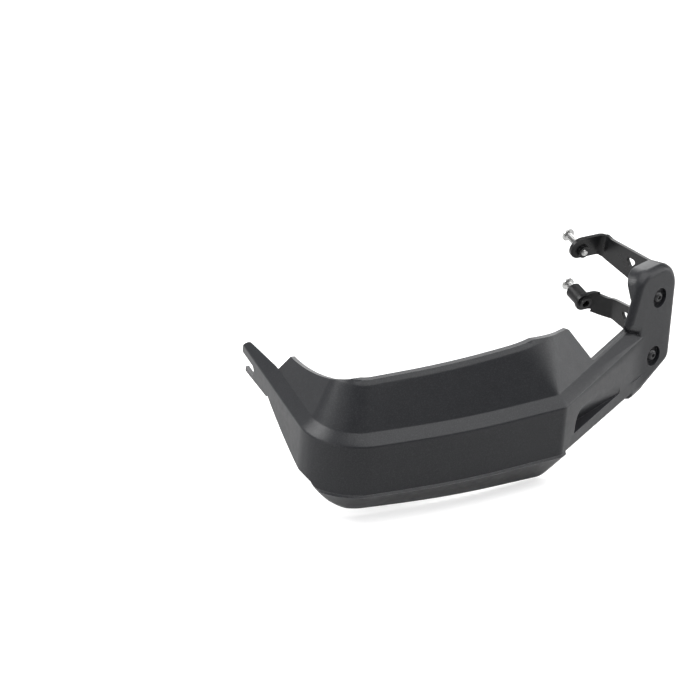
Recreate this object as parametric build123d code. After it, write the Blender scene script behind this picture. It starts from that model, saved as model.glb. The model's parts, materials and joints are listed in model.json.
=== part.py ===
from build123d import *
from math import atan2, cos, degrees, radians, sin, tan
import os

# Right-hand motorcycle hand guard. Millimetres, X outboard along the bar, Y forward, Z up.
# The origin lies midway between the two clamp screws, on the rear face of the upper bracket.

# Clamp end
clamp_spacing = 44.0
clamp_screw_d = 6.0
clamp_head_d = 9.0
clamp_head_h = 3.4
clamp_flange_d = 11.5
clamp_flange_t = 1.2
clamp_socket_af = 4.0
clamp_socket_depth = 2.2
clamp_tilt = 11.0
upper_grip = 20.0
lower_grip = 8.0
lower_seat_forward = 10.0
upper_tip_proud = 1.0
lower_tip_short = 3.5
spacer_d = 14.0
spacer_len = 15.0

# Where the shield's bend lies, seen from the origin
bend_x = 129.0
bend_y = 175.0
ledge_z = -13.5

# Plan of the shield's front edge, headings in degrees from X
arm_heading = 29.6
front_heading = 1.0
outer_heading = -7.5
side_heading = -101.0
arm_len = 156.0
front_break = 95.0
front_len = 222.0
bend_r = 12.0
bend_ease = 2.3
front_ease_share = 0.55
front_ease_clear = 6.0
corner_r = 45.0
corner_taper = 0.6

# Section of the shield: set-back from the front edge, and height from that edge
wall = 3.0
band_h = 43.2
bead_out = 1.6
bead_h = 1.6
skirt_in = 16.0
skirt_h = 25.0
skirt_rise = 1.8
ledge_in = 9.0
ledge_h = 8.0
deflector_in = 18.5
deflector_h = 38.0
lip_in = 3.4
lip_h = 3.4
top_fall = 2.3
ledge_round = 2.5
foot_round = 3.0
lip_round = 5.0

# Ends of the deflector and the skirt on the arm, measured along the arm from the bend
deflector_foot_s = 68.5
deflector_corner_s = 49.0
deflector_corner_h = 42.6
deflector_corner_r = 6.0
deflector_foot_r = 4.0
arm_rim_h = 2.0
skirt_top_s = 5.0
skirt_low_s = 13.0
skirt_corner_r = 14.0
skirt_root_r = 3.0
arm_edge_rise = 0.2
arm_edge_end_s = 133.0
arm_end_rise = 5.0

# Outboard end, measured rearward along the side from where the corner ends
peak_s = 72.5
peak_h = 21.8
notch_s = 78.8
sweep_start_s = -8.0
sweep_mid_s = 22.0
sweep_mid_h = 31.0
tail_low_s = -20.0
tail_low_h = -39.8
tail_mid_s = 30.0
tail_mid_h = -29.2
tail_end_s = 76.0
tail_end_h = -13.5
tab_jog = 2.2
tab_low_h = -19.0
prong_end_s = 138.5
low_prong_end_s = 129.0
slot_w = 8.4
slot_end_s = 110.0
slot_h = -10.6
prong_ledge_in = 4.5
prong_top_r = 5.0
prong_low_r = 1.5
skirt_end_x = 150.0
skirt_end_mid_x = 197.0
skirt_end_mid_h = -56.8
skirt_end_top_x = 212.5
skirt_end_top_h = -37.0

# Mounting pad: its lobe lies on the arm and its face turns forward about a hinge line.
# Stations run along the arm to the hinge and on along the pad; the face leans back about the lower screw.
pad_turn = 12.0
pad_hinge_s = 151.0
pad_lean = 4.0
pad_proud = 0.3
pad_top_h = 57.5
pad_top_r = 22.0
pad_inboard_top_s = 194.6
pad_inboard_low_s = 187.6
pad_inboard_low_h = -32.0
pad_inboard_low_r = 11.0
pad_outboard_top_s = 143.6
pad_outboard_r = 18.0
pad_arm_top_s = 125.0
pad_arm_top_h = 12.0
pad_arm_top_r = 6.0
pad_start_s = 142.0
pad_start_h = 4.0
pad_lobe_h = -50.5
pad_lobe_in_s = 149.5
pad_lobe_in_r = 14.0
pad_lobe_out_s = 127.0
pad_lobe_out_r = 5.0
pad_lobe_end_s = 160.0
pad_step_s = 122.5
pad_overlap = 8.0
pad_least_r = 2.0
pad_depth = 18.0
pad_draft = -0.8
pad_rim_high_h = 32.0
pad_rim_low_h = 12.0
pad_rim_low_depth = 12.5
side_rim_high_h = 56.0
side_rim_mid_h = 46.0
side_rim_mid_depth = 13.0
side_rim_low_h = 36.0
side_rim_low_depth = 5.5
pad_shoulder = 6.5
pad_wall = 3.2
upper_screw_s = 168.0
upper_screw_h = 29.4
lower_screw_s = 163.6
lower_screw_h = -22.3
shield_screw_d = 6.0
screw_clearance = 0.3
pocket_d = 17.6
pocket_depth = 3.6
boss_d = 22.0
boss_back = 13.0
button_d = 10.5
button_h = 3.3
button_socket_af = 4.0
button_socket_depth = 2.0

# Scoop in the arm
scoop_shallow_s = 105.0
scoop_deep_s = 36.0
scoop_end_s = 21.0
scoop_top_h = -8.0
scoop_low_h = -33.0
scoop_depth = 9.0

# Brackets
strip_t = 3.0
strip_bend_r = 5.0
upper_strip_w = 20.0
lower_strip_w = 16.5
foot_w = 25.0
foot_turn = 14.5
plate_knee = 12.0
upper_plate_in = 20.0
upper_plate_end = 3.0
upper_plate_rise = 3.3
upper_leg_rise = (7.0, 1.5)
lower_leg_rise = (11.0, 9.0)
upper_knee_rise = (0.7, -0.7)
lower_knee_rise = (-1.2, -2.6)
fold_step = 4.0
leg_shoulder = 13.0
shoulder_run = 3.0
lower_plate_in = 9.0
lower_jog_in = 12.0
lower_jog_forward = 15.0
collar_d = 11.0
collar_h = 2.5
window_len = 15.0
window_h = 9.0
window_r = 2.2
window_rise = 3.0
upper_window_y = 40.5
lower_window_y = 45.0

# Flange nuts behind the bracket feet
nut_af = 10.0
nut_h = 6.0
nut_flange_d = 13.0
nut_flange_t = 1.4
nut_tip_proud = 1.5

# Rounding of the screw heads, as shares of their radius and height
button_shoulder = 0.85
button_swell = 0.6

# Steps of the rounded corners, and the reach and overlap of the cuts
section_steps = 2
shoulder_steps = 3
hollow_steps = 1
far = 400.0
cut_depth = 60.0
cavity_reach = 6.0
cavity_tail = 30.0
skirt_clear = 0.6
taper_clear = 0.5
overlap = 1.0
hole_reach = 9.0

# Derived places
section_top = ledge_h + deflector_h + lip_h
lip_set_back = ledge_in + deflector_in + lip_in
arm_low_h = arm_edge_rise - band_h
bend_point = Vector(bend_x, bend_y, ledge_z)


def heading_vector(angle):
    return Vector(cos(radians(angle)), sin(radians(angle)), 0)


def inward(angle):
    return Vector(sin(radians(angle)), -cos(radians(angle)), 0)


def meet(point_a, angle_a, point_b, angle_b):
    """Point where two plan lines cross."""
    along_a = heading_vector(angle_a)
    along_b = heading_vector(angle_b)
    gap = point_b - point_a
    reach = (gap.X * along_b.Y - gap.Y * along_b.X) / (along_a.X * along_b.Y - along_a.Y * along_b.X)
    return point_a + along_a * reach


arm_along = heading_vector(arm_heading) * -1
front_break_point = bend_point + heading_vector(front_heading) * front_break
corner_point = front_break_point + heading_vector(outer_heading) * (front_len - front_break)
corner_turn = outer_heading - side_heading
corner_reach = corner_r * tan(radians(corner_turn / 2))
side_start = corner_point + heading_vector(side_heading) * corner_reach

arm_plane = Plane(bend_point, x_dir=arm_along, z_dir=inward(arm_heading) * -1)
side_plane = Plane(side_start, x_dir=heading_vector(side_heading), z_dir=inward(side_heading))
pad_heading = arm_heading - pad_turn
pad_along = heading_vector(pad_heading) * -1
hinge_point = bend_point + arm_along * pad_hinge_s
seat_plane = Plane(hinge_point - pad_along * pad_hinge_s, x_dir=pad_along, z_dir=inward(pad_heading) * -1)

# The front's slow turn takes its share of the outer run, within what the bend leaves of the inner run
bend_half = tan(radians((arm_heading - front_heading) / 2))
front_half = tan(radians((front_heading - outer_heading) / 2))
bend_reach = (bend_r + bend_ease * (section_top - ledge_h)) * bend_half
inner_room = front_break - lip_set_back * (bend_half + front_half) - bend_reach - front_ease_clear
front_r = min(front_ease_share * (front_len - front_break - corner_reach), inner_room) / front_half


def leaned(plane):
    """A pad plane tipped back about the level of the lower screw."""
    pivot = plane.from_local_coords((0, lower_screw_h, pad_proud))
    normal = plane.z_dir * cos(radians(pad_lean)) + Vector(0, 0, 1) * sin(radians(pad_lean))
    return Plane(pivot, x_dir=plane.x_dir, z_dir=normal)


lobe_plane = leaned(arm_plane)
pad_plane = leaned(seat_plane)


def plan_level(set_back, height, tilt, inset, tail):
    """Closed plan outline at one height, set back from the front edge and closed behind the hand."""
    outside = set_back - inset
    corner = corner_r - min(outside, ledge_in) - corner_taper * max(outside - ledge_in, 0.0) - inset
    bend_round = bend_r + bend_ease * max(height - ledge_h, 0.0)
    lean_back = (height - lower_screw_h) * tan(radians(pad_lean))
    lines = [
        (bend_point, arm_heading + degrees(atan2(lean_back, arm_len))),
        (bend_point, front_heading),
        (front_break_point, outer_heading),
        (corner_point, side_heading),
    ]
    moved = [(point + inward(angle) * set_back, angle) for point, angle in lines]
    arm_end = moved[0][0] - heading_vector(moved[0][1]) * (arm_len + tail)
    tip_end = moved[3][0] + heading_vector(side_heading) * (corner_reach + prong_end_s + tail)
    bend, break_corner, side_corner = [meet(*moved[i], *moved[i + 1]) for i in range(3)]
    edge = FilletPolyline(
        tip_end, side_corner, break_corner, bend, arm_end,
        radius=[corner, front_r - set_back, bend_round],
    )
    outline = make_face(edge + Line(arm_end, tip_end))
    lifted = Pos(0, 0, height) * outline
    pivot = Location(bend_point)
    return pivot * Rot(0, tilt, 0) * pivot.inverse() * lifted


def rounded(before, corner, after, radius, steps):
    """Points of an arc that softens one corner of the section; with no steps the corner stays sharp."""
    if steps == 0:
        return [corner]
    a = (Vector(*before) - Vector(*corner)).normalized()
    b = (Vector(*after) - Vector(*corner)).normalized()
    half = a.get_angle(b) / 2
    reach = radius / tan(radians(half))
    centre = Vector(*corner) + (a + b).normalized() * (radius / sin(radians(half)))
    start = Vector(*corner) + a * reach - centre
    end = Vector(*corner) + b * reach - centre
    points = []
    for i in range(steps + 1):
        spoke = (start * (steps - i) + end * i).normalized() * radius
        points.append((centre.X + spoke.X, centre.Y + spoke.Y))
    return points


def offset_section(points, distance):
    """The section's own line moved inward by a wall, with mitred corners."""
    moved = []
    for i, point in enumerate(points):
        here = Vector(*point)
        normals = []
        for j in (i - 1, i):
            if 0 <= j < len(points) - 1:
                run = (Vector(*points[j + 1]) - Vector(*points[j])).normalized()
                normals.append(Vector(run.Y, -run.X))
        mitre = sum(normals, Vector()).normalized()
        shifted = here + mitre * (distance / mitre.dot(normals[0]))
        moved.append((shifted.X, shifted.Y))
    return moved


def shield_section(steps):
    """Section from the skirt's hem up to the lip as set-back and height, and the tilt of each level."""
    hem = (skirt_in, -band_h - bead_h - skirt_h)
    bead = (-bead_out, -band_h - bead_h)
    band_low = (0.0, -band_h)
    band_top = (0.0, 0.0)
    ledge = (ledge_in, ledge_h)
    crease = (ledge_in + deflector_in, ledge_h + deflector_h)
    lip = (crease[0] + lip_in, crease[1] + lip_h)
    middle = [
        bead,
        band_low,
        *rounded(band_low, band_top, ledge, ledge_round, steps),
        *rounded(band_top, ledge, crease, foot_round, steps),
    ]
    upper = [*rounded(ledge, crease, lip, lip_round, steps), lip]
    tilts = [-skirt_rise] + [0.0] * len(middle) + [top_fall] * len(upper)
    return [hem, *middle, *upper], tilts


def plug(points, tilts, inset=0.0, tail=0.0):
    levels = [plan_level(d, h, tilt, inset, tail) for (d, h), tilt in zip(points, tilts)]
    return loft(levels, ruled=True)


def stretched(points, reach):
    """The section lengthened past both of its ends."""
    first = Vector(*points[0]) + (Vector(*points[0]) - Vector(*points[1])).normalized() * reach
    last = Vector(*points[-1]) + (Vector(*points[-1]) - Vector(*points[-2])).normalized() * reach
    return [(first.X, first.Y), *points[1:-1], (last.X, last.Y)]


def shield_walls():
    section, tilts = shield_section(section_steps)
    plain, plain_tilts = shield_section(0)
    cavity = stretched(offset_section(plain, wall), cavity_reach)
    return plug(section, tilts) - plug(cavity, plain_tilts, wall, cavity_tail)


def cutter(plane, outline):
    """Prism through the shield from an outline drawn on one of its planes."""
    return extrude(plane * outline, cut_depth, both=True)


def deflector_arm_cut():
    rim = ledge_h + arm_rim_h
    edge = FilletPolyline(
        (0, section_top), (deflector_corner_s, deflector_corner_h), (deflector_foot_s, rim), (far, rim),
        radius=[deflector_corner_r, deflector_foot_r],
    )
    closing = Polyline((far, rim), (far, far), (0, far), (0, section_top))
    return cutter(arm_plane, make_face(edge + closing))


def skirt_arm_cut():
    low = -band_h - bead_h - skirt_h - skirt_clear
    edge = FilletPolyline(
        (-cut_depth, low), (skirt_low_s, low), (skirt_top_s, arm_low_h), (arm_edge_end_s, arm_low_h),
        radius=[skirt_corner_r, skirt_root_r],
    )
    closing = Polyline(
        (arm_edge_end_s, arm_low_h), (arm_edge_end_s + arm_end_rise, arm_low_h + arm_end_rise),
        (far, arm_low_h + arm_end_rise), (far, -far), (-cut_depth, -far), (-cut_depth, low),
    )
    return cutter(arm_plane, make_face(edge + closing))


def side_top_cut():
    start_h = section_top - (front_len - lip_set_back) * tan(radians(top_fall))
    edge = ThreePointArc((sweep_start_s, start_h), (sweep_mid_s, sweep_mid_h), (peak_s, peak_h))
    closing = Polyline(
        (peak_s, peak_h), (notch_s, ledge_h), (far, ledge_h), (far, far), (sweep_start_s, far),
        (sweep_start_s, start_h),
    )
    return cutter(side_plane, make_face(edge + closing))


def side_low_cut():
    edge = ThreePointArc((tail_low_s, tail_low_h), (tail_mid_s, tail_mid_h), (tail_end_s, tail_end_h))
    closing = Polyline(
        (tail_end_s, tail_end_h), (tail_end_s + tab_jog, tail_end_h - tab_jog),
        (low_prong_end_s, tab_low_h), (far, tab_low_h), (far, -far), (tail_low_s, -far),
        (tail_low_s, tail_low_h),
    )
    return cutter(side_plane, make_face(edge + closing))


def skirt_outboard_cut():
    front_plane = Plane(bend_point, x_dir=(1, 0, 0), z_dir=(0, -1, 0))
    hem_h = -band_h - bead_h - skirt_h + skirt_end_x * tan(radians(skirt_rise))
    edge = ThreePointArc(
        (skirt_end_x, hem_h), (skirt_end_mid_x, skirt_end_mid_h), (skirt_end_top_x, skirt_end_top_h)
    )
    closing = Polyline(
        (skirt_end_top_x, skirt_end_top_h), (far, skirt_end_top_h), (far, -far), (skirt_end_x, -far),
        (skirt_end_x, hem_h),
    )
    return cutter(front_plane, make_face(edge + closing))


def fork_cut():
    """Slot for the bar-end bolt, the shorter lower prong and the rounded end of the upper one."""
    half = slot_w / 2
    slot = Pos(slot_end_s + half, slot_h) * Circle(half)
    slot += Pos((slot_end_s + half + far) / 2, slot_h) * Rectangle(far - slot_end_s - half, slot_w)
    stub = Pos((low_prong_end_s + far) / 2, slot_h - far / 2) * Rectangle(far - low_prong_end_s, far)
    prong_top = prong_ledge_in * ledge_h / ledge_in
    prong_low = slot_h + half
    end = FilletPolyline(
        (slot_end_s, prong_top), (prong_end_s, prong_top), (prong_end_s, prong_low), (slot_end_s, prong_low),
        radius=[prong_top_r, prong_low_r],
    )
    kept = make_face(end + Line((slot_end_s, prong_low), (slot_end_s, prong_top)))
    corner_s = prong_end_s - prong_top_r
    tip = Pos(corner_s + far / 2, 0) * Rectangle(far, 2 * cut_depth) - kept
    return cutter(side_plane, slot + stub + tip)


def prong_taper_cut():
    """The ledge narrows towards the end of the upper prong."""
    plan = Plane(side_start + Vector(0, 0, -cut_depth), x_dir=heading_vector(side_heading), z_dir=(0, 0, 1))
    outline = make_face(Polyline(
        (notch_s, -ledge_in - taper_clear), (prong_end_s, -prong_ledge_in), (far, -prong_ledge_in),
        (far, -far), (notch_s, -far), close=True,
    ))
    return extrude(plan * outline, 2 * cut_depth, dir=(0, 0, 1))


def pad_low_edge(station):
    """Height of the pad's slanting lower edge inboard of the lobe."""
    slope = (pad_inboard_low_h - pad_lobe_h) / (pad_inboard_low_s - pad_lobe_in_s)
    return pad_lobe_h + slope * (station - pad_lobe_in_s)


def lobe_corners():
    return [
        (pad_step_s, arm_low_h + pad_overlap, 0.0),
        (pad_lobe_out_s, pad_lobe_h, pad_lobe_out_r),
        (pad_lobe_in_s, pad_lobe_h, pad_lobe_in_r),
        (pad_lobe_end_s, pad_low_edge(pad_lobe_end_s), 0.0),
        (pad_lobe_end_s, arm_low_h + pad_overlap, 0.0),
    ]


def pad_corners():
    return [
        (pad_start_s, pad_lobe_h, 0.0),
        (pad_lobe_in_s, pad_lobe_h, pad_lobe_in_r),
        (pad_inboard_low_s, pad_inboard_low_h, pad_inboard_low_r),
        (pad_inboard_top_s, pad_top_h, pad_top_r),
        (pad_outboard_top_s, pad_top_h, pad_outboard_r),
        (pad_arm_top_s, pad_arm_top_h, pad_arm_top_r),
        (pad_start_s, pad_start_h, 0.0),
    ]


def pad_level(plane, corners, depth, inset):
    """Outline of the pad at one depth behind its face, drawn in by an inset."""
    points = offset_section([(s, h - lower_screw_h) for s, h, r in corners], -inset)
    radii = [max(r - inset, pad_least_r) if r else 0.0 for s, h, r in corners[1:-1]]
    outline = make_face(FilletPolyline(*points, radius=radii) + Line(points[-1], points[0]))
    return plane.offset(-depth) * outline


def pad_shell(plane, corners, wall_in, steps):
    """Rounded block of the pad; wall_in draws it in on every side to make the hollow."""
    shoulder = pad_shoulder - wall_in
    levels = []
    for i in range(steps + 1):
        turn = radians(90 * i / steps)
        levels.append((wall_in + shoulder * (1 - cos(turn)), wall_in + shoulder * (1 - sin(turn))))
    levels.append((2 * pad_depth if wall_in else pad_depth, wall_in - pad_draft))
    return loft([pad_level(plane, corners, depth, inset) for depth, inset in levels], ruled=True)


def pad_rim_cut(profile, reach):
    """What lies behind the pad's rim, from a profile of depth and height run along the pad."""
    points = [(depth, h - lower_screw_h) for depth, h in profile]
    outline = make_face(Polyline(
        (far, points[0][1]), *points, (points[-1][0], -far), (far, -far), close=True,
    ))
    end_view = Plane(pad_plane.origin, x_dir=pad_plane.z_dir * -1, z_dir=pad_plane.x_dir)
    return extrude(end_view * outline, reach)


def pad_cap():
    """Hollow cap: the lobe on the arm and the turned pad, open behind their rim."""
    faces = [(lobe_plane, lobe_corners()), (pad_plane, pad_corners())]
    cap = pad_shell(*faces[0], 0.0, shoulder_steps) + pad_shell(*faces[1], 0.0, shoulder_steps)
    for plane, corners in faces:
        cap -= pad_shell(plane, corners, pad_wall, hollow_steps)
    cap -= pad_rim_cut([(pad_depth, pad_rim_high_h), (pad_rim_low_depth, pad_rim_low_h)], far)
    side_rim = [
        (pad_depth, side_rim_high_h),
        (side_rim_mid_depth, side_rim_mid_h),
        (side_rim_low_depth, side_rim_low_h),
    ]
    return cap - pad_rim_cut(side_rim, pad_hinge_s)


def scoop(grow):
    """Wedge along the arm, deepest beside the bend; grow makes the wall behind it."""
    stations = [
        (scoop_shallow_s + 2 * grow, 0.0), (scoop_deep_s, scoop_depth), (scoop_end_s - grow, 0.0)
    ]
    front = wall / 2 if grow else -overlap
    sections = []
    for station, depth in stations:
        place = Plane(arm_plane.from_local_coords((station, 0, 0)), x_dir=arm_plane.z_dir * -1,
                      z_dir=arm_plane.x_dir)
        sections.append(place * make_face(Polyline(
            (front, scoop_top_h + grow), (front, scoop_low_h - grow), (depth + grow, scoop_low_h - grow),
            close=True,
        )))
    return loft(sections, ruled=True)


def screw_plane(station, height):
    """Plane square to the pad's run where a shield screw's axis meets the pad's face, z forward."""
    set_back = (height - lower_screw_h) * sin(radians(pad_lean)) - pad_proud
    level = lower_screw_h + (height - lower_screw_h) * cos(radians(pad_lean))
    return Plane(seat_plane.from_local_coords((station, level, -set_back)),
                 x_dir=seat_plane.x_dir, z_dir=seat_plane.z_dir)


upper_pad = screw_plane(upper_screw_s, upper_screw_h)
lower_pad = screw_plane(lower_screw_s, lower_screw_h)


def boss_reach(pad):
    """From the pad's face at the screw back to the seat of the bracket's foot."""
    return boss_back + seat_plane.to_local_coords(pad.origin).Z


def rod(plane, radius, start, end):
    """Cylinder along a plane's normal between two distances from it."""
    return plane * Pos(0, 0, (start + end) / 2) * Cylinder(radius, abs(end - start))


def shield():
    body = shield_walls()
    body -= deflector_arm_cut()
    body -= skirt_arm_cut()
    body -= side_top_cut()
    body -= side_low_cut()
    body -= skirt_outboard_cut()
    body -= fork_cut()
    body -= prong_taper_cut()
    body += pad_cap()
    body += scoop(wall)
    body -= scoop(0.0)
    for pad in (upper_pad, lower_pad):
        body += rod(pad, boss_d / 2, -pad_wall / 2, -boss_reach(pad))
        body -= rod(pad, pocket_d / 2, pocket_depth, -pocket_depth)
        body -= rod(pad, shield_screw_d / 2 + screw_clearance, 0, -2 * boss_back)
    return body


def hexagon(across):
    return RegularPolygon(across / 2, 6, major_radius=False)


def shield_screw(pad):
    """Button-head screw in the pad's pocket, long enough to pass through the nut."""
    seat = pad.offset(-pocket_depth)
    dome = button_d / 2
    head = make_face(
        Line((0, 0), (dome, 0))
        + ThreePointArc((dome, 0), (dome * button_shoulder, button_h * button_swell), (dome / 2, button_h))
        + Polyline((dome / 2, button_h), (0, button_h), (0, 0))
    )
    screw = seat * revolve(Plane.XZ * head, Axis.Z)
    tip = pocket_depth - boss_reach(pad) - strip_t - nut_h - nut_tip_proud
    screw += rod(seat, shield_screw_d / 2, 0, tip)
    socket = extrude(seat.offset(button_h - button_socket_depth) * hexagon(button_socket_af), button_h)
    return screw - socket


def flange_nut(pad):
    back = pad.offset(-boss_reach(pad) - strip_t)
    nut = rod(back, nut_flange_d / 2, 0, -nut_flange_t)
    nut += extrude(back * hexagon(nut_af), -nut_h)
    return nut - rod(back, shield_screw_d / 2, overlap, -nut_h - overlap)


def clamp_plane(forward, height):
    """Rear face of a clamp plate: x inboard, y up the plate, z forward along its screw."""
    tilt = radians(clamp_tilt)
    return Plane((0, forward, height), x_dir=(-1, 0, 0), z_dir=(0, cos(tilt), -sin(tilt)))


upper_clamp = clamp_plane(0.0, clamp_spacing / 2)
lower_clamp = clamp_plane(lower_seat_forward, -clamp_spacing / 2)


def clamp_screw(clamp, grip, tip_proud):
    """Flanged screw put in from the rear; grip runs from its seat to the clamp plate, tip past the collar."""
    seat = Plane(clamp.offset(-grip).origin, x_dir=clamp.x_dir, z_dir=clamp.z_dir * -1)
    rim = clamp_flange_d / 2
    neck = clamp_head_d / 2
    top = clamp_flange_t + clamp_head_h
    swell = (neck * button_shoulder, clamp_flange_t + clamp_head_h * button_swell)
    head = make_face(
        Polyline((0, 0), (rim, 0), (rim, clamp_flange_t), (neck, clamp_flange_t))
        + ThreePointArc((neck, clamp_flange_t), swell, (neck / 2, top))
        + Polyline((neck / 2, top), (0, top), (0, 0))
    )
    screw = seat * revolve(Plane.XZ * head, Axis.Z)
    screw += rod(seat, clamp_screw_d / 2, 0, -grip - strip_t - collar_h - tip_proud)
    return screw - extrude(seat.offset(top - clamp_socket_depth) * hexagon(clamp_socket_af), top)


def round_end_cut(end_plane, radius):
    """What lies outside a strip's rounded end; the plane's x axis points out of the end."""
    beyond = Pos(radius, 0) * Rectangle(2 * radius, 4 * radius) - Circle(radius)
    return extrude(end_plane * beyond, hole_reach, both=True)


def foot_points(pad):
    """Plan points of a bracket's foot: where the strip turns to it, and its outboard end."""
    along = seat_plane.to_local_coords(pad.origin)
    depth = -boss_back - strip_t / 2
    turn = seat_plane.from_local_coords((along.X + foot_turn, 0, depth))
    end = seat_plane.from_local_coords((along.X - foot_w / 2, 0, depth))
    return (turn.X, turn.Y), (end.X, end.Y)


def fold_edge(strip, plane_a, plane_b):
    """The straight edge of a strip that lies in two of its planes."""
    def apart(edge):
        ends = (edge.position_at(0), edge.position_at(1))
        return sum(abs(plane.to_local_coords(end).Z) for plane in (plane_a, plane_b) for end in ends)

    return min(strip.edges(), key=apart)


def bracket(clamp, plate_in, plate_end, plate_rise, strip_w, leg, knee_rise, leg_rise, pad, window_y):
    """Steel strip on edge, from a tilted clamp plate along a plan path to the foot behind the pad."""
    half_w = strip_w / 2
    plate = Pos((plate_in + foot_w) / 2, plate_rise) * Rectangle(plate_in + foot_w + 2 * plate_end, strip_w)
    plate += Pos(-plate_end, plate_rise) * Circle(half_w)
    slab = extrude(clamp * plate, strip_t)

    run = (Vector(*leg[1]) - Vector(*leg[0])).normalized()
    side_out = Vector(-run.Y, run.X)
    outer = Plane(Vector(*leg[0]) + side_out * (strip_t / 2), z_dir=side_out)
    start = Vector(*leg[0]) - run * foot_w
    line = FilletPolyline(start, *leg[1:], radius=strip_bend_r)
    foot_z = pad.origin.Z
    turn_y = leg[-2][1]
    high = [(0.0, -foot_w), (0.0, fold_step), (knee_rise[0], fold_step), (knee_rise[0], plate_knee)]
    low = [(knee_rise[1], plate_knee), (knee_rise[1], fold_step), (0.0, fold_step), (0.0, -foot_w)]
    high = [clamp.from_local_coords((0, plate_rise + half_w + rise, z)) for rise, z in high]
    low = [clamp.from_local_coords((0, plate_rise - half_w + rise, z)) for rise, z in low]
    side = make_face(Polyline(
        *[(point.Y, point.Z) for point in high],
        (turn_y - leg_shoulder, foot_z + foot_w / 2 + leg_rise[0]),
        (turn_y - leg_shoulder + shoulder_run, foot_z + foot_w / 2), (far, foot_z + foot_w / 2),
        (far, foot_z - foot_w / 2), (turn_y - leg_shoulder + shoulder_run, foot_z - foot_w / 2),
        (turn_y - leg_shoulder, foot_z - foot_w / 2 + leg_rise[1]),
        *[(point.Y, point.Z) for point in low], close=True,
    ))
    ribbon = extrude(trace(line, strip_t), far, both=True) & extrude(Plane.YZ * side, far, both=True)
    strip = split(slab, bisect_by=outer, keep=Keep.BOTTOM) + split(ribbon, bisect_by=clamp, keep=Keep.TOP)
    strip = fillet(fold_edge(strip, outer, clamp), strip_bend_r + strip_t)
    strip = fillet(fold_edge(strip, outer.offset(-strip_t), clamp.offset(strip_t)), strip_bend_r)

    foot = Plane(pad.offset(-boss_reach(pad)).origin, x_dir=pad_along * -1, z_dir=seat_plane.z_dir)
    strip -= round_end_cut(foot, foot_w / 2)
    strip += rod(clamp, collar_d / 2, strip_t / 2, strip_t + collar_h)
    strip -= rod(clamp, clamp_screw_d / 2 + screw_clearance, -strip_t, hole_reach)
    strip -= rod(foot, shield_screw_d / 2 + screw_clearance, -hole_reach, hole_reach)
    leave = clamp.from_local_coords((0, plate_rise, plate_knee))
    share = (window_y - leave.Y) / (turn_y - leave.Y)
    centre_z = leave.Z + (foot_z - leave.Z) * share + window_rise
    window = make_face(Polyline(
        (window_y - window_len / 2, centre_z + window_h / 2),
        (window_y + window_len / 2, centre_z + window_h / 2),
        (window_y, centre_z - window_h / 2), close=True,
    ))
    window = fillet(window.vertices(), window_r)
    return strip - extrude(Plane.YZ * window, far, both=True)


def upper_bracket():
    turn, end = foot_points(upper_pad)
    corner = (-upper_plate_in, strip_t / 2)
    return bracket(upper_clamp, upper_plate_in, upper_plate_end, upper_plate_rise, upper_strip_w,
                   [corner, turn, end], upper_knee_rise, upper_leg_rise, upper_pad, upper_window_y)


def lower_bracket():
    turn, end = foot_points(lower_pad)
    corner = (-lower_plate_in, lower_seat_forward + strip_t / 2)
    jog = (corner[0] - lower_jog_in, corner[1] + lower_jog_forward)
    return bracket(lower_clamp, lower_plate_in, 0.0, 0.0, lower_strip_w, [corner, jog, turn, end],
                   lower_knee_rise, lower_leg_rise, lower_pad, lower_window_y)


def lower_spacer():
    tube = rod(lower_clamp, spacer_d / 2, 0, -spacer_len)
    return tube - rod(lower_clamp, clamp_screw_d / 2 + screw_clearance, overlap, -spacer_len - overlap)


os.makedirs("parts", exist_ok=True)
parts = {
    "shield": shield(),
    "upper_bracket": upper_bracket(),
    "lower_bracket": lower_bracket(),
    "upper_shield_screw": shield_screw(upper_pad),
    "lower_shield_screw": shield_screw(lower_pad),
    "upper_flange_nut": flange_nut(upper_pad),
    "lower_flange_nut": flange_nut(lower_pad),
    "lower_spacer": lower_spacer(),
    "upper_clamp_screw": clamp_screw(upper_clamp, upper_grip, upper_tip_proud),
    "lower_clamp_screw": clamp_screw(lower_clamp, spacer_len + lower_grip, -lower_tip_short),
}
for name, shape in parts.items():
    shape.label = name
    export_step(shape, f"parts/{name}.step")
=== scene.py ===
import bpy
import bmesh
import json
import math
from mathutils import Matrix, Vector


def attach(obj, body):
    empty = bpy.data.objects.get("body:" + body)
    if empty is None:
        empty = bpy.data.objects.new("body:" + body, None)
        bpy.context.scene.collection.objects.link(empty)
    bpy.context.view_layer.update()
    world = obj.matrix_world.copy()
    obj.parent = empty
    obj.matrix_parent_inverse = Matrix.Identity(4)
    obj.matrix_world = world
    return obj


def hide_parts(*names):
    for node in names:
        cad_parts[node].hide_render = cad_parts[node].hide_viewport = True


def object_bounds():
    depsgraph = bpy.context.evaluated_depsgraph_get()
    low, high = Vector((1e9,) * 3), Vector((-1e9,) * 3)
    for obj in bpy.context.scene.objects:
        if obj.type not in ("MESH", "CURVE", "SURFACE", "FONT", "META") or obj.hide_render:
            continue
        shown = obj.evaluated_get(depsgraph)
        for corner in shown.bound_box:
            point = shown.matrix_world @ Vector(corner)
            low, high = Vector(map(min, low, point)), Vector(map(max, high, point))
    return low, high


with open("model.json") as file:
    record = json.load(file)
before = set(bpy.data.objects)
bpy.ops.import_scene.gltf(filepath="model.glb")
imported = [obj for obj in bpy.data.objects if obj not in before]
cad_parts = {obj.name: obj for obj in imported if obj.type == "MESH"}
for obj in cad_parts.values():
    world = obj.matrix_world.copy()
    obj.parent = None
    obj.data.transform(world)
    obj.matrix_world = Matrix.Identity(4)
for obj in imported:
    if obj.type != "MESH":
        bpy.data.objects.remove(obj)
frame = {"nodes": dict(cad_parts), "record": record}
cadBox = [list(corner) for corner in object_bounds()]
scene = bpy.context.scene
print("frame loaded:", ", ".join(sorted(frame["nodes"])))


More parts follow.
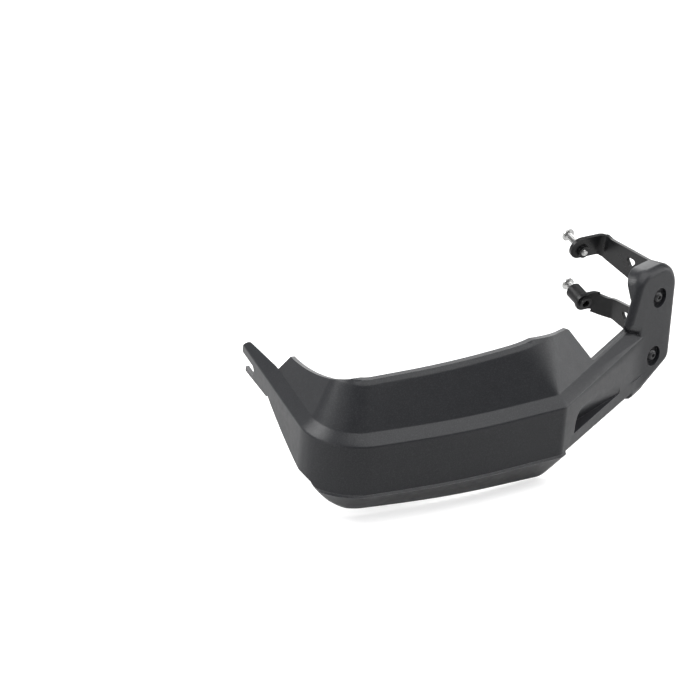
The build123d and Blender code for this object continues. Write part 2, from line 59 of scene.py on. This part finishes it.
# camera, worked out from the edges of the guard in the photo
cameraSet = {
    "bend": (0.129, 0.175, -0.0135),  # point of the guard the camera is aimed from
    "turn": 33.39,
    "rise": 27.94,
    "roll": 4.64,
    "offset": (0.1732, -0.0464, -3.120),  # the bend point as the camera sees it
    "focalPixels": 3900.0,
    "imagePixels": 700.0,
    "sensor": 36.0,
    "clipEnd": 50.0,
}


def makeCamera():
    turn, rise, roll = (math.radians(cameraSet[k]) for k in ("turn", "rise", "roll"))
    flatRight = Vector((-math.cos(turn), math.sin(turn), 0))
    flatUp = Vector((-math.sin(turn) * math.sin(rise), -math.cos(turn) * math.sin(rise), math.cos(rise)))
    back = Vector((math.sin(turn) * math.cos(rise), math.cos(turn) * math.cos(rise), math.sin(rise)))
    right = flatRight * math.cos(roll) + flatUp * math.sin(roll)
    up = flatUp * math.cos(roll) - flatRight * math.sin(roll)
    axes = Matrix((right, up, back)).transposed()
    place = Vector(cameraSet["bend"]) - axes @ Vector(cameraSet["offset"])
    data = bpy.data.cameras.new("photoCamera")
    data.sensor_width = cameraSet["sensor"]
    data.lens = cameraSet["sensor"] * cameraSet["focalPixels"] / cameraSet["imagePixels"]
    data.clip_end = cameraSet["clipEnd"]
    camera = bpy.data.objects.new("photoCamera", data)
    camera.matrix_world = Matrix.Translation(place) @ axes.to_4x4()
    scene.collection.objects.link(camera)
    scene.camera = camera
    return camera


camera = makeCamera()
print("camera placed", [round(v, 3) for v in camera.location])


# materials
def newMaterial(name, metallic=0.0, specular=0.5):
    material = bpy.data.materials.new(name)
    material.use_nodes = True
    tree = material.node_tree
    shader = tree.nodes["Principled BSDF"]
    shader.inputs["Metallic"].default_value = metallic
    shader.inputs["Specular IOR Level"].default_value = specular
    return material, tree, shader


def addNode(tree, kind, **values):
    node = tree.nodes.new(kind)
    for key, value in values.items():
        if key in node.inputs:
            node.inputs[key].default_value = value
        else:
            setattr(node, key, value)
    return node


def noise(tree, coords, scale, detail=4.0, roughness=0.55):
    node = addNode(tree, "ShaderNodeTexNoise")
    node.inputs["Scale"].default_value = scale
    node.inputs["Detail"].default_value = detail
    node.inputs["Roughness"].default_value = roughness
    tree.links.new(coords, node.inputs["Vector"])
    return node.outputs["Fac"]


def ramp(tree, value, low, high, fromLow=0.3, fromHigh=0.7):
    node = addNode(tree, "ShaderNodeMapRange")
    node.inputs["From Min"].default_value = fromLow
    node.inputs["From Max"].default_value = fromHigh
    node.inputs["To Min"].default_value = low
    node.inputs["To Max"].default_value = high
    tree.links.new(value, node.inputs["Value"])
    return node.outputs["Result"]


def mixColour(tree, factor, first, second):
    node = addNode(tree, "ShaderNodeMix", data_type="RGBA")
    tree.links.new(factor, node.inputs[0])
    for socket, value in ((node.inputs[6], first), (node.inputs[7], second)):
        if isinstance(value, bpy.types.NodeSocket):
            tree.links.new(value, socket)
        else:
            socket.default_value = (*value, 1.0)
    return node.outputs[2]


def bump(tree, height, strength, distance, under=None):
    node = addNode(tree, "ShaderNodeBump")
    node.inputs["Strength"].default_value = strength
    node.inputs["Distance"].default_value = distance
    tree.links.new(height, node.inputs["Height"])
    if under is not None:
        tree.links.new(under, node.inputs["Normal"])
    return node.outputs["Normal"]


def edgeMask(tree, finish):
    soft = addNode(tree, "ShaderNodeBevel", samples=4)
    soft.inputs["Radius"].default_value = finish["wearAndHighlightReach"]
    flat = addNode(tree, "ShaderNodeNewGeometry")
    agree = addNode(tree, "ShaderNodeVectorMath", operation="DOT_PRODUCT")
    tree.links.new(soft.outputs["Normal"], agree.inputs[0])
    tree.links.new(flat.outputs["Normal"], agree.inputs[1])
    return ramp(tree, agree.outputs["Value"], 1.0, 0.0, *finish["wearAndHighlightSpan"])  # 1 on edges, 0 on flats


plasticSet = {
    "base": (0.0090, 0.0095, 0.0113),
    "cloud": (0.0110, 0.0115, 0.0133),
    "cloudScale": 14.0,
    "speck": (0.034, 0.035, 0.038),
    "speckShare": 0.4,
    "speckSpan": (0.45, 0.75),  # heights of the grain between which specks come in
    # edge colour: wear, together with a painted highlight line along the edges
    "worn": (0.060, 0.061, 0.064),
    "wearAndHighlightReach": 0.0008,
    "wearAndHighlightSpan": (0.90, 0.99),  # how well true and rounded normals agree, from worn and painted-highlight edge to clean
    "specular": 0.24,
    "rough": (0.33, 0.40),
    "waveScale": 160.0,
    "waveBump": (0.06, 0.0002),  # strength and depth
    "grainScale": 1100.0,
    "grainBump": (0.3, 0.00010),
}


def makePlastic():
    material, tree, shader = newMaterial("charcoalMouldedPlastic", specular=plasticSet["specular"])
    coords = addNode(tree, "ShaderNodeTexCoord").outputs["Object"]
    cloud = noise(tree, coords, plasticSet["cloudScale"], 3.0)
    wave = noise(tree, coords, plasticSet["waveScale"], 5.0)
    grain = noise(tree, coords, plasticSet["grainScale"], 2.0)
    colour = mixColour(tree, ramp(tree, cloud, 0.0, 1.0), plasticSet["base"], plasticSet["cloud"])
    speckMask = ramp(tree, grain, 0.0, plasticSet["speckShare"], *plasticSet["speckSpan"])
    speck = mixColour(tree, speckMask, colour, plasticSet["speck"])
    # edges are lightened: wear together with a painted edge highlight
    edge = mixColour(tree, edgeMask(tree, plasticSet), speck, plasticSet["worn"])
    tree.links.new(edge, shader.inputs["Base Color"])
    tree.links.new(ramp(tree, wave, *plasticSet["rough"]), shader.inputs["Roughness"])
    waved = bump(tree, wave, *plasticSet["waveBump"])
    tree.links.new(bump(tree, grain, *plasticSet["grainBump"], waved), shader.inputs["Normal"])
    return material


coatSet = {
    "base": (0.006, 0.006, 0.0065),
    "cloud": (0.010, 0.010, 0.0105),
    "cloudScale": 60.0,
    # edge colour: rubbed wear, together with a painted highlight line along the edges
    "worn": (0.06, 0.06, 0.062),
    "wearAndHighlightReach": 0.0004,
    "wearAndHighlightSpan": (0.72, 0.97),
    "specular": 0.24,
    "rough": (0.24, 0.36),
    "peelScale": 700.0,
    "peelBump": (0.3, 0.00006),
}
oxideSet = {
    "base": (0.016, 0.016, 0.017),
    "cloud": (0.026, 0.026, 0.028),
    "cloudScale": 60.0,
    # edge colour: rubbed wear, together with a painted highlight line along the edges
    "worn": (0.12, 0.12, 0.12),
    "wearAndHighlightReach": 0.0002,
    "wearAndHighlightSpan": (0.72, 0.97),
    "specular": 0.28,
    "rough": (0.28, 0.44),
    "peelScale": 1500.0,
    "peelBump": (0.3, 0.00002),
}
spacerSet = {
    "base": (0.006, 0.006, 0.0065),
    "cloud": (0.010, 0.010, 0.0105),
    "cloudScale": 60.0,
    # edge colour: rubbed wear, together with a painted highlight line along the edges
    "worn": (0.09, 0.09, 0.092),
    "wearAndHighlightReach": 0.0003,
    "wearAndHighlightSpan": (0.72, 0.97),
    "specular": 0.2,
    "rough": (0.34, 0.46),
    "peelScale": 900.0,
    "peelBump": (0.3, 0.00003),
}


def makeCoat(name, coat):
    material, tree, shader = newMaterial(name, specular=coat["specular"])
    coords = addNode(tree, "ShaderNodeTexCoord").outputs["Object"]
    cloud = noise(tree, coords, coat["cloudScale"], 4.0)
    peel = noise(tree, coords, coat["peelScale"], 2.0)
    colour = mixColour(tree, ramp(tree, cloud, 0.0, 1.0), coat["base"], coat["cloud"])
    # edges are lightened: wear together with a painted edge highlight
    edge = mixColour(tree, edgeMask(tree, coat), colour, coat["worn"])
    tree.links.new(edge, shader.inputs["Base Color"])
    tree.links.new(ramp(tree, cloud, *coat["rough"]), shader.inputs["Roughness"])
    tree.links.new(bump(tree, peel, *coat["peelBump"]), shader.inputs["Normal"])
    return material


zincSet = {
    "base": (0.56, 0.56, 0.55),
    "dull": (0.38, 0.38, 0.38),
    "smearScale": 120.0,
    "rough": (0.22, 0.38),
    "spangleScale": 420.0,
    "spangleBump": (0.15, 0.00005),
}


def makeZinc(name):
    material, tree, shader = newMaterial(name, metallic=1.0)
    coords = addNode(tree, "ShaderNodeTexCoord").outputs["Object"]
    spangle = noise(tree, coords, zincSet["spangleScale"], 3.0)
    smear = noise(tree, coords, zincSet["smearScale"], 5.0)
    colour = mixColour(tree, ramp(tree, smear, 0.0, 1.0), zincSet["base"], zincSet["dull"])
    tree.links.new(colour, shader.inputs["Base Color"])
    tree.links.new(ramp(tree, spangle, *zincSet["rough"]), shader.inputs["Roughness"])
    tree.links.new(bump(tree, spangle, *zincSet["spangleBump"]), shader.inputs["Normal"])
    return material


finishes = {
    "shield_plastic": makePlastic(),
    "bracket_black": makeCoat("blackPowderCoat", coatSet),
    "screw_black": makeCoat("blackOxideScrew", oxideSet),
    "spacer_black": makeCoat("satinBlackSpacer", spacerSet),
    "nut_zinc": makeZinc("zincNut"),
    "clamp_screw_zinc": makeZinc("brightZincScrew"),
}
print("materials made:", len(finishes))


# screw threads: the solids' shanks are plain, so each is turned down to its core and a helix wound on it
threadSet = {
    "radius": 0.003,
    "pitch": 0.001,
    "depth": 0.00052,
    "pointsPerTurn": 24,
    "endGap": 0.0004,  # bare core at both ends of the helix
    "shankSlack": 0.00005,  # how far from its radius a point of the shank may be
    "flatDot": 0.999,  # faces this well in line count as one direction
    "screws": ("upper_shield_screw", "lower_shield_screw", "upper_clamp_screw", "lower_clamp_screw"),
}


def makeThreadTree():
    tree = bpy.data.node_groups.new("screwThread", "GeometryNodeTree")
    sockets = (
        ("Length", "Float"), ("Pitch", "Float"), ("Core", "Float"), ("Depth", "Float"),
        ("Points", "Int"), ("Finish", "Material"),
    )
    tree.interface.new_socket("Geometry", in_out="OUTPUT", socket_type="NodeSocketGeometry")
    tree.interface.new_socket("Geometry", in_out="INPUT", socket_type="NodeSocketGeometry")
    for name, kind in sockets:
        tree.interface.new_socket(name, in_out="INPUT", socket_type="NodeSocket" + kind)
    given = addNode(tree, "NodeGroupInput").outputs
    turns = addNode(tree, "ShaderNodeMath", operation="DIVIDE")
    tree.links.new(given["Length"], turns.inputs[0])
    tree.links.new(given["Pitch"], turns.inputs[1])
    helix = addNode(tree, "GeometryNodeCurveSpiral", Reverse=True)
    for socket, value in (
        ("Resolution", given["Points"]), ("Rotations", turns.outputs[0]), ("Height", given["Length"]),
        ("Start Radius", given["Core"]), ("End Radius", given["Core"]),
    ):
        tree.links.new(value, helix.inputs[socket])
    upright = addNode(tree, "GeometryNodeSetCurveNormal", mode="Z_UP")
    tree.links.new(helix.outputs[0], upright.inputs["Curve"])
    # the ridge is a square on its corner, as deep as its half diagonal
    side = addNode(tree, "ShaderNodeMath", operation="MULTIPLY")
    tree.links.new(given["Depth"], side.inputs[0])
    side.inputs[1].default_value = math.sqrt(2)
    ridge = addNode(tree, "GeometryNodeCurvePrimitiveQuadrilateral", mode="RECTANGLE")
    tree.links.new(side.outputs[0], ridge.inputs["Width"])
    tree.links.new(side.outputs[0], ridge.inputs["Height"])
    onCorner = addNode(tree, "GeometryNodeTransform")
    onCorner.inputs["Rotation"].default_value = (0, 0, math.radians(45))
    tree.links.new(ridge.outputs[0], onCorner.inputs["Geometry"])
    sweep = addNode(tree, "GeometryNodeCurveToMesh")
    sweep.inputs["Fill Caps"].default_value = True
    tree.links.new(upright.outputs[0], sweep.inputs["Curve"])
    tree.links.new(onCorner.outputs[0], sweep.inputs["Profile Curve"])
    real = addNode(tree, "GeometryNodeRealizeInstances")
    tree.links.new(sweep.outputs[0], real.inputs["Geometry"])
    finish = addNode(tree, "GeometryNodeSetMaterial")
    tree.links.new(real.outputs[0], finish.inputs["Geometry"])
    tree.links.new(given["Finish"], finish.inputs["Material"])
    tree.links.new(finish.outputs[0], addNode(tree, "NodeGroupOutput").inputs["Geometry"])
    return tree


threadTree = makeThreadTree()


def screwPlace(mesh):
    # the flat seat, head and tip share one direction, so it holds the most area: that is the screw's axis
    facing = {}
    for face in mesh.polygons:
        key = tuple(round(c, 2) for c in face.normal)
        facing[key] = facing.get(key, 0) + face.area
    rough = Vector(max(facing, key=facing.get)).normalized()
    flats = [face for face in mesh.polygons if face.normal.dot(rough) > threadSet["flatDot"]]
    axis = sum((face.normal * face.area for face in flats), Vector()).normalized()
    across = axis.orthogonal().normalized()
    turn = Matrix((across, axis.cross(across), axis))
    local = [turn @ v.co for v in mesh.vertices]
    middle = [(min(p[i] for p in local) + max(p[i] for p in local)) / 2 for i in (0, 1)]
    reach = [math.hypot(p.x - middle[0], p.y - middle[1]) for p in local]
    shank = [i for i, r in enumerate(reach) if abs(r - threadSet["radius"]) < threadSet["shankSlack"]]
    heights = [local[i].z for i in shank]
    widest = local[reach.index(max(reach))].z
    down = abs(widest - min(heights)) > abs(widest - max(heights))  # the head is at the upper end
    seat, tip = (max(heights), min(heights)) if down else (min(heights), max(heights))
    foot = turn.transposed() @ Vector((*middle, seat))
    return foot, (axis * -1 if down else axis), abs(tip - seat), shank


def turnDown(mesh, foot, axis, shank):
    share = 1 - threadSet["depth"] / threadSet["radius"]
    for i in shank:
        arm = mesh.vertices[i].co - foot
        along = axis * arm.dot(axis)
        mesh.vertices[i].co = foot + along + (arm - along) * share


def makeThread(node, foot, axis, length):
    thread = bpy.data.objects.new("thread", bpy.data.meshes.new("thread"))
    scene.collection.objects.link(thread)
    wind = thread.modifiers.new("screwThread", "NODES")
    wind.node_group = threadTree
    values = {
        "Length": length - 2 * threadSet["endGap"],
        "Pitch": threadSet["pitch"],
        "Core": threadSet["radius"] - threadSet["depth"],
        "Depth": threadSet["depth"],
        "Points": threadSet["pointsPerTurn"],
        "Finish": finishes[slotOf[node]],
    }
    for item in threadTree.interface.items_tree:
        if item.in_out == "INPUT" and item.name in values:
            wind[item.identifier] = values[item.name]
    mesh = bakedMesh(thread)
    bpy.data.objects.remove(thread)
    start = foot + axis * threadSet["endGap"]
    mesh.transform(Matrix.Translation(start) @ axis.to_track_quat("Z", "Y").to_matrix().to_4x4())
    return mesh


# each solid gets a merged copy with softened edges, so that curved walls shade smoothly
softEdges = {
    "shield": {"width": 0.0006, "angle": 42.0},
    "upper_bracket": {"width": 0.0004, "angle": 40.0},
    "lower_bracket": {"width": 0.0004, "angle": 40.0},
    "upper_shield_screw": {"width": 0.00015, "angle": 40.0},
    "lower_shield_screw": {"width": 0.00015, "angle": 40.0},
    "upper_flange_nut": {"width": 0.00025, "angle": 40.0},
    "lower_flange_nut": {"width": 0.00025, "angle": 40.0},
    "lower_spacer": {"width": 0.0003, "angle": 40.0},
    "upper_clamp_screw": {"width": 0.00015, "angle": 40.0},
    "lower_clamp_screw": {"width": 0.00015, "angle": 40.0},
}
softSet = {
    "mergeGap": 1e-6,
    "flatAngle": 0.3,  # edges flatter than this are taken out
    "segments": 2,
}
slotOf = {entry["node"]: entry["material_slot"] for entry in frame["record"]["subparts"]}


def camel(node):
    first, *rest = node.split("_")
    return first + "".join(word.capitalize() for word in rest)


def bakedMesh(piece):
    return bpy.data.meshes.new_from_object(piece.evaluated_get(bpy.context.evaluated_depsgraph_get()))


def mergedMesh(node):
    mesh = frame["nodes"][node].data.copy()
    mesh.name = camel(node)
    shape = bmesh.new()
    shape.from_mesh(mesh)
    bmesh.ops.remove_doubles(shape, verts=shape.verts, dist=softSet["mergeGap"])
    flat = math.radians(softSet["flatAngle"])
    bmesh.ops.dissolve_limit(
        shape, angle_limit=flat, verts=shape.verts, edges=shape.edges, delimit={"SHARP"}
    )
    shape.to_mesh(mesh)
    shape.free()
    mesh.materials.clear()
    mesh.materials.append(finishes[slotOf[node]])
    mesh.shade_smooth()
    return mesh


def joined(first, second):
    shape = bmesh.new()
    shape.from_mesh(first)
    shape.from_mesh(second)
    shape.to_mesh(first)
    shape.free()
    return first


def softCopy(node):
    settings = softEdges[node]
    mesh = mergedMesh(node)
    threaded = node in threadSet["screws"]
    if threaded:
        foot, axis, length, shank = screwPlace(mesh)
        turnDown(mesh, foot, axis, shank)
    piece = bpy.data.objects.new(camel(node), mesh)
    scene.collection.objects.link(piece)
    bevel = piece.modifiers.new("softEdge", "BEVEL")
    bevel.width = settings["width"]
    bevel.segments = softSet["segments"]
    bevel.limit_method = "ANGLE"
    bevel.angle_limit = math.radians(settings["angle"])
    baked = bakedMesh(piece)
    piece.modifiers.clear()
    if threaded:
        baked = joined(baked, makeThread(node, foot, axis, length))
    piece.data = baked
    baked.set_sharp_from_angle(angle=math.radians(settings["angle"]))
    weigh = piece.modifiers.new("flatFaces", "WEIGHTED_NORMAL")  # broad faces keep flat shading
    weigh.mode = "FACE_AREA_WITH_ANGLE"
    weigh.keep_sharp = True
    piece.data = bakedMesh(piece)
    piece.modifiers.clear()
    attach(piece, "root")
    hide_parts(node)
    return piece


pieces = {node: softCopy(node) for node in softEdges}
print("soft copies:", {node: len(piece.data.polygons) for node, piece in pieces.items()})


# stage
stageSet = {
    "floorGap": 0.002,
    "floorHalf": 6.0,
    "floorColour": (0.58, 0.58, 0.58),
    "floorMottle": (0.60, 0.60, 0.60),
    "mottleScale": 3.0,
    "floorRough": 0.9,
    "floorGlow": (0.5, 1.0),  # by the guard, where its shadow falls, and far off
    "floorFade": (0.7, 2.4),  # distances between which the glow rises
    "floorGlossy": 0.1,  # share of the glow that reflections see
    "worldLight": 0.24,
    "dimSpan": (-0.05, 0.25),  # reflections see the world fade out between these slopes above the horizon
}


def seenRays(tree, glossyShare):
    rays = addNode(tree, "ShaderNodeLightPath").outputs
    glossy = addNode(tree, "ShaderNodeMath", operation="MULTIPLY")
    tree.links.new(rays["Is Glossy Ray"], glossy.inputs[0])
    if isinstance(glossyShare, bpy.types.NodeSocket):
        tree.links.new(glossyShare, glossy.inputs[1])
    else:
        glossy.inputs[1].default_value = glossyShare
    seen = glossy.outputs[0]
    for kind in ("Is Camera Ray", "Is Transmission Ray"):
        either = addNode(tree, "ShaderNodeMath", operation="MAXIMUM")
        tree.links.new(seen, either.inputs[0])
        tree.links.new(rays[kind], either.inputs[1])
        seen = either.outputs[0]
    return seen


def makeFloor():
    low = cadBox[0][2] - stageSet["floorGap"]
    half = stageSet["floorHalf"]
    mesh = bpy.data.meshes.new("studioFloor")
    corners = [(-half, -half, low), (half, -half, low), (half, half, low), (-half, half, low)]
    mesh.from_pydata(corners, [], [(0, 1, 2, 3)])
    floor = bpy.data.objects.new("studioFloor", mesh)
    scene.collection.objects.link(floor)
    material, tree, shader = newMaterial("paleFloor", specular=0.0)
    coords = addNode(tree, "ShaderNodeTexCoord").outputs["Object"]
    mottle = ramp(tree, noise(tree, coords, stageSet["mottleScale"]), 0.0, 1.0)
    mottled = mixColour(tree, mottle, stageSet["floorColour"], stageSet["floorMottle"])
    tree.links.new(mottled, shader.inputs["Base Color"])
    shader.inputs["Roughness"].default_value = stageSet["floorRough"]
    shader.inputs["Emission Color"].default_value = (1, 1, 1, 1)
    away = addNode(tree, "ShaderNodeVectorMath", operation="LENGTH")
    tree.links.new(coords, away.inputs[0])
    strength = ramp(tree, away.outputs["Value"], *stageSet["floorGlow"], *stageSet["floorFade"])
    glow = addNode(tree, "ShaderNodeMath", operation="MULTIPLY")
    tree.links.new(seenRays(tree, stageSet["floorGlossy"]), glow.inputs[0])
    tree.links.new(strength, glow.inputs[1])
    tree.links.new(glow.outputs[0], shader.inputs["Emission Strength"])
    mesh.materials.append(material)


def makeWorld():
    world = bpy.data.worlds.new("softStudio")
    scene.world = world
    world.use_nodes = True
    tree = world.node_tree
    back = tree.nodes["Background"]
    back.inputs["Color"].default_value = (1, 1, 1, 1)
    direction = addNode(tree, "ShaderNodeSeparateXYZ")
    tree.links.new(addNode(tree, "ShaderNodeTexCoord").outputs["Generated"], direction.inputs[0])
    seen = seenRays(tree, ramp(tree, direction.outputs["Z"], 1.0, 0.0, *stageSet["dimSpan"]))
    strength = ramp(tree, seen, stageSet["worldLight"], 1.0, 0.0, 1.0)
    tree.links.new(strength, back.inputs["Strength"])


lampSet = {
    "topSoft": {"place": (-0.2, 0.42, 1.35), "aim": (0.14, 0.1, 0.0), "size": 1.95, "power": 43.0},
    "leftSoft": {"place": (1.2, -0.6, 1.0), "aim": (0.35, 0.05, -0.05), "size": 0.9, "power": 24.0},
    "lowLeftSoft": {"place": (1.7, 0.5, 0.25), "aim": (0.15, 0.1, 0.0), "size": 1.3, "power": 12.0},
    "rightSoft": {"place": (-1.65, 0.5, 0.45), "aim": (0.1, 0.1, 0.0), "size": 1.0, "power": 11.0},
    "rearSoft": {"place": (-0.6, -1.5, 0.7), "aim": (0.15, 0.1, 0.0), "size": 1.2, "power": 16.0},
}


def makeLamps():
    for name, lamp in lampSet.items():
        data = bpy.data.lights.new(name, "AREA")
        data.energy = lamp["power"]
        data.size = lamp["size"]
        item = bpy.data.objects.new(name, data)
        place = Vector(lamp["place"])
        aim = Vector(lamp["aim"]) - place
        item.matrix_world = Matrix.Translation(place) @ aim.to_track_quat("-Z", "Y").to_matrix().to_4x4()
        scene.collection.objects.link(item)


makeFloor()
makeWorld()
makeLamps()
scene.view_settings.view_transform = "Standard"
print("stage and lamps placed")
